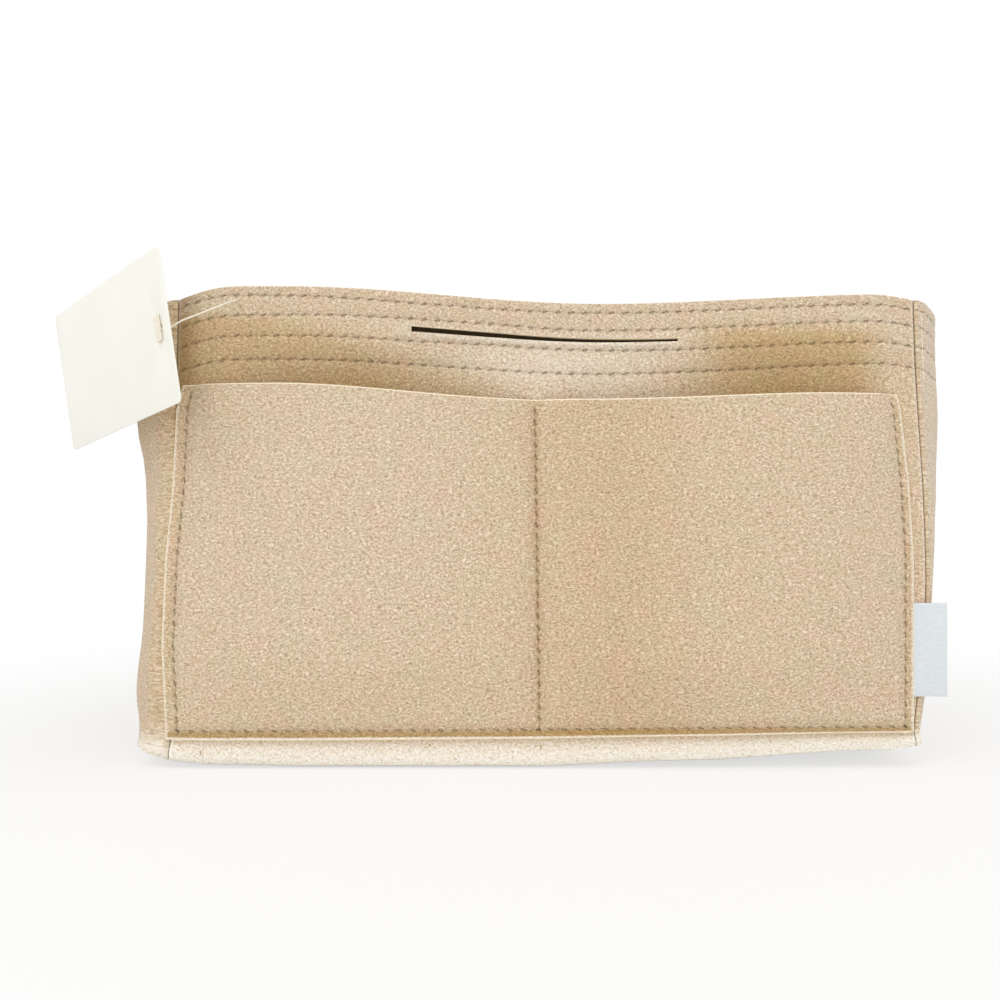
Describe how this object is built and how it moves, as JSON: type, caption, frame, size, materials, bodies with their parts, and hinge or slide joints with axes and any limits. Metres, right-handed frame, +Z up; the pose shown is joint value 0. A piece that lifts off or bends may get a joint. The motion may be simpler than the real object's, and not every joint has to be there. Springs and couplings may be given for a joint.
{
  "type": "purse organizer insert",
  "caption": "Open-topped felt insert with outer and inner pockets, stitched rim band with a grip slot, zipped divider, key strap and swing tag.",
  "frame": {"origin": "middle of the flat underside of the base", "axes": "+Z up, front outer pocket faces -Y, +X to the right as seen from the front"},
  "size_m": [0.3612, 0.1821, 0.1874],
  "materials": {
    "outer_felt": "needle-punched felt, matt",
    "inner_felt": "needle-punched felt, matt",
    "zip_tape": "woven polyester tape",
    "zip_coil": "nylon coil",
    "metal": "plated zinc alloy",
    "satin_label": "woven satin tape, bare",
    "tag_card": "coated ivory card, bare",
    "nylon_pin": "white nylon"
  },
  "bodies": {
    "insert": {"body_wrap": "outer_felt", "left_gusset": "outer_felt", "right_gusset": "outer_felt", "front_outer_pocket": "outer_felt", "back_outer_pocket": "outer_felt", "front_rim_facing": "inner_felt", "back_rim_facing": "inner_felt", "left_rim_facing": "inner_felt", "right_rim_facing": "inner_felt", "front_inner_pocket": "inner_felt", "back_inner_pocket": "inner_felt", "divider_front_panel": "inner_felt", "divider_back_panel": "inner_felt", "zip_tape_front": "zip_tape", "zip_tape_back": "zip_tape", "zip_coil_front": "zip_coil", "zip_coil_back": "zip_coil", "zip_stop_left": "metal", "zip_stop_right": "metal", "side_label": "satin_label"},
    "zip_slider": {"zip_slider": "metal"},
    "zip_pull": {"zip_pull": "metal"},
    "key_strap": {"key_strap": "outer_felt"},
    "clasp_hook": {"clasp_hook": "metal"},
    "clasp_gate": {"clasp_gate": "metal"},
    "tag_pin": {"tag_pin": "nylon_pin"},
    "tag_card": {"tag_card": "tag_card"}
  },
  "joints": [
    {"name": "tag_pin_turn", "type": "hinge", "parent": "insert", "child": "tag_pin", "pos_m": [-0.1147, -0.07, 0.174], "axis": [0, -1, 0], "range_deg": [-90, 10]},
    {"name": "tag_card_turn", "type": "hinge", "parent": "tag_pin", "child": "tag_card", "pos_m": [-0.1348, -0.0981, 0.1596], "axis": [-0.6981, -0.712, -0.0758], "continuous": true},
    {"name": "zip_slide", "type": "slide", "parent": "insert", "child": "zip_slider", "axis": [1, 0, 0], "range_m": [0, 0.244]},
    {"name": "zip_pull_flip", "type": "hinge", "parent": "zip_slider", "child": "zip_pull", "pos_m": [-0.12411, 0, 0.1638], "axis": [0, -1, 0], "range_deg": [0, 180]},
    {"name": "key_strap_swing", "type": "hinge", "parent": "insert", "child": "key_strap", "pos_m": [-0.161, -0.018, 0.165], "axis": [0, -1, 0], "range_deg": [0, 75]},
    {"name": "clasp_tilt", "type": "hinge", "parent": "key_strap", "child": "clasp_hook", "pos_m": [-0.1565, -0.018, 0.121], "axis": [0, -1, 0], "range_deg": [0, 60]},
    {"name": "clasp_gate_open", "type": "hinge", "parent": "clasp_hook", "child": "clasp_gate", "pos_m": [-0.1565, -0.01341, 0.10455], "axis": [-1, 0, 0], "range_deg": [0, 35], "stiffness_Nm_per_rad": 0.002, "springref_deg": -17.19}
  ]
}
